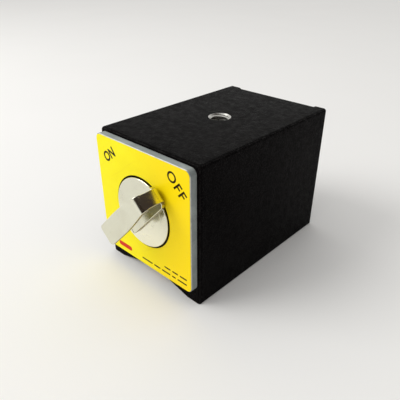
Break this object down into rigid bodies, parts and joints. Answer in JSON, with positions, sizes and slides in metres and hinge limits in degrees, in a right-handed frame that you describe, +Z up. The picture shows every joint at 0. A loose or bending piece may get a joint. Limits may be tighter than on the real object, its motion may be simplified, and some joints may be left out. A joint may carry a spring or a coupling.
{
  "type": "switchable magnetic holding block",
  "caption": "Magnetic welding holder: an iron block with a V-groove base and a tapped top, switched on and off by a bent lever knob that turns a magnet rotor.",
  "frame": {"origin": "on the surface it stands on, under the middle of its box, which runs from the lever's tip to the rear face", "axes": "+Z up, +X to the right seen from the knob's side, +Y along the block from the knob to the rear cover"},
  "size_m": [0.05, 0.0896, 0.055],
  "materials": {
    "black_paint": "fine-textured black enamel on iron, bare ground iron on the feet and in the groove",
    "grey_paint": "satin grey enamel on a cast plate, worn to metal along its front edges",
    "yellow_label": "semi-gloss printed film",
    "nickel": "bright nickel plate, lightly brushed",
    "steel": "plain machined steel",
    "soft_iron": "turned and ground soft iron",
    "brass": "plain brass",
    "ferrite": "matt sintered ferrite",
    "rubber": "matt black nitrile"
  },
  "bodies": {
    "block": {"pole_shoe_left": "black_paint", "pole_shoe_right": "black_paint", "separator_top": "black_paint", "separator_bottom": "brass", "front_plate": "grey_paint", "front_label": "yellow_label", "rear_cover": "black_paint", "thrust_bush": "brass", "wave_washer": "steel", "stop_pin": "steel", "plate_screw_1": "steel", "cover_screw_1": "steel", "plate_screw_2": "steel", "cover_screw_2": "steel", "plate_screw_3": "steel", "cover_screw_3": "steel", "plate_screw_4": "steel", "cover_screw_4": "steel"},
    "knob": {"knob_lever": "nickel", "knob_disc": "nickel", "knob_hub": "steel", "knob_rivet_1": "steel", "knob_rivet_2": "steel", "hub_seal": "rubber"},
    "rotor": {"rotor_cap_front": "brass", "rotor_cap_rear": "brass", "rotor_pole_upper": "soft_iron", "rotor_pole_lower": "soft_iron", "magnet_front": "ferrite", "magnet_rear": "ferrite", "tie_bolt_1": "steel", "tie_bolt_2": "steel", "tie_bolt_3": "steel", "tie_bolt_4": "steel"}
  },
  "joints": [
    {"name": "knob_turn", "type": "hinge", "parent": "block", "child": "knob", "pos_m": [0, -0.0338, 0.03], "axis": [0, -1, 0], "range_deg": [0, 90]},
    {"name": "rotor_turn", "type": "hinge", "parent": "block", "child": "rotor", "pos_m": [0, 0.00585, 0.03], "axis": [0, -1, 0], "range_deg": [0, 90]}
  ],
  "couplings": [
    {"joint": "rotor_turn", "follows": "knob_turn", "ratio": 1}
  ]
}
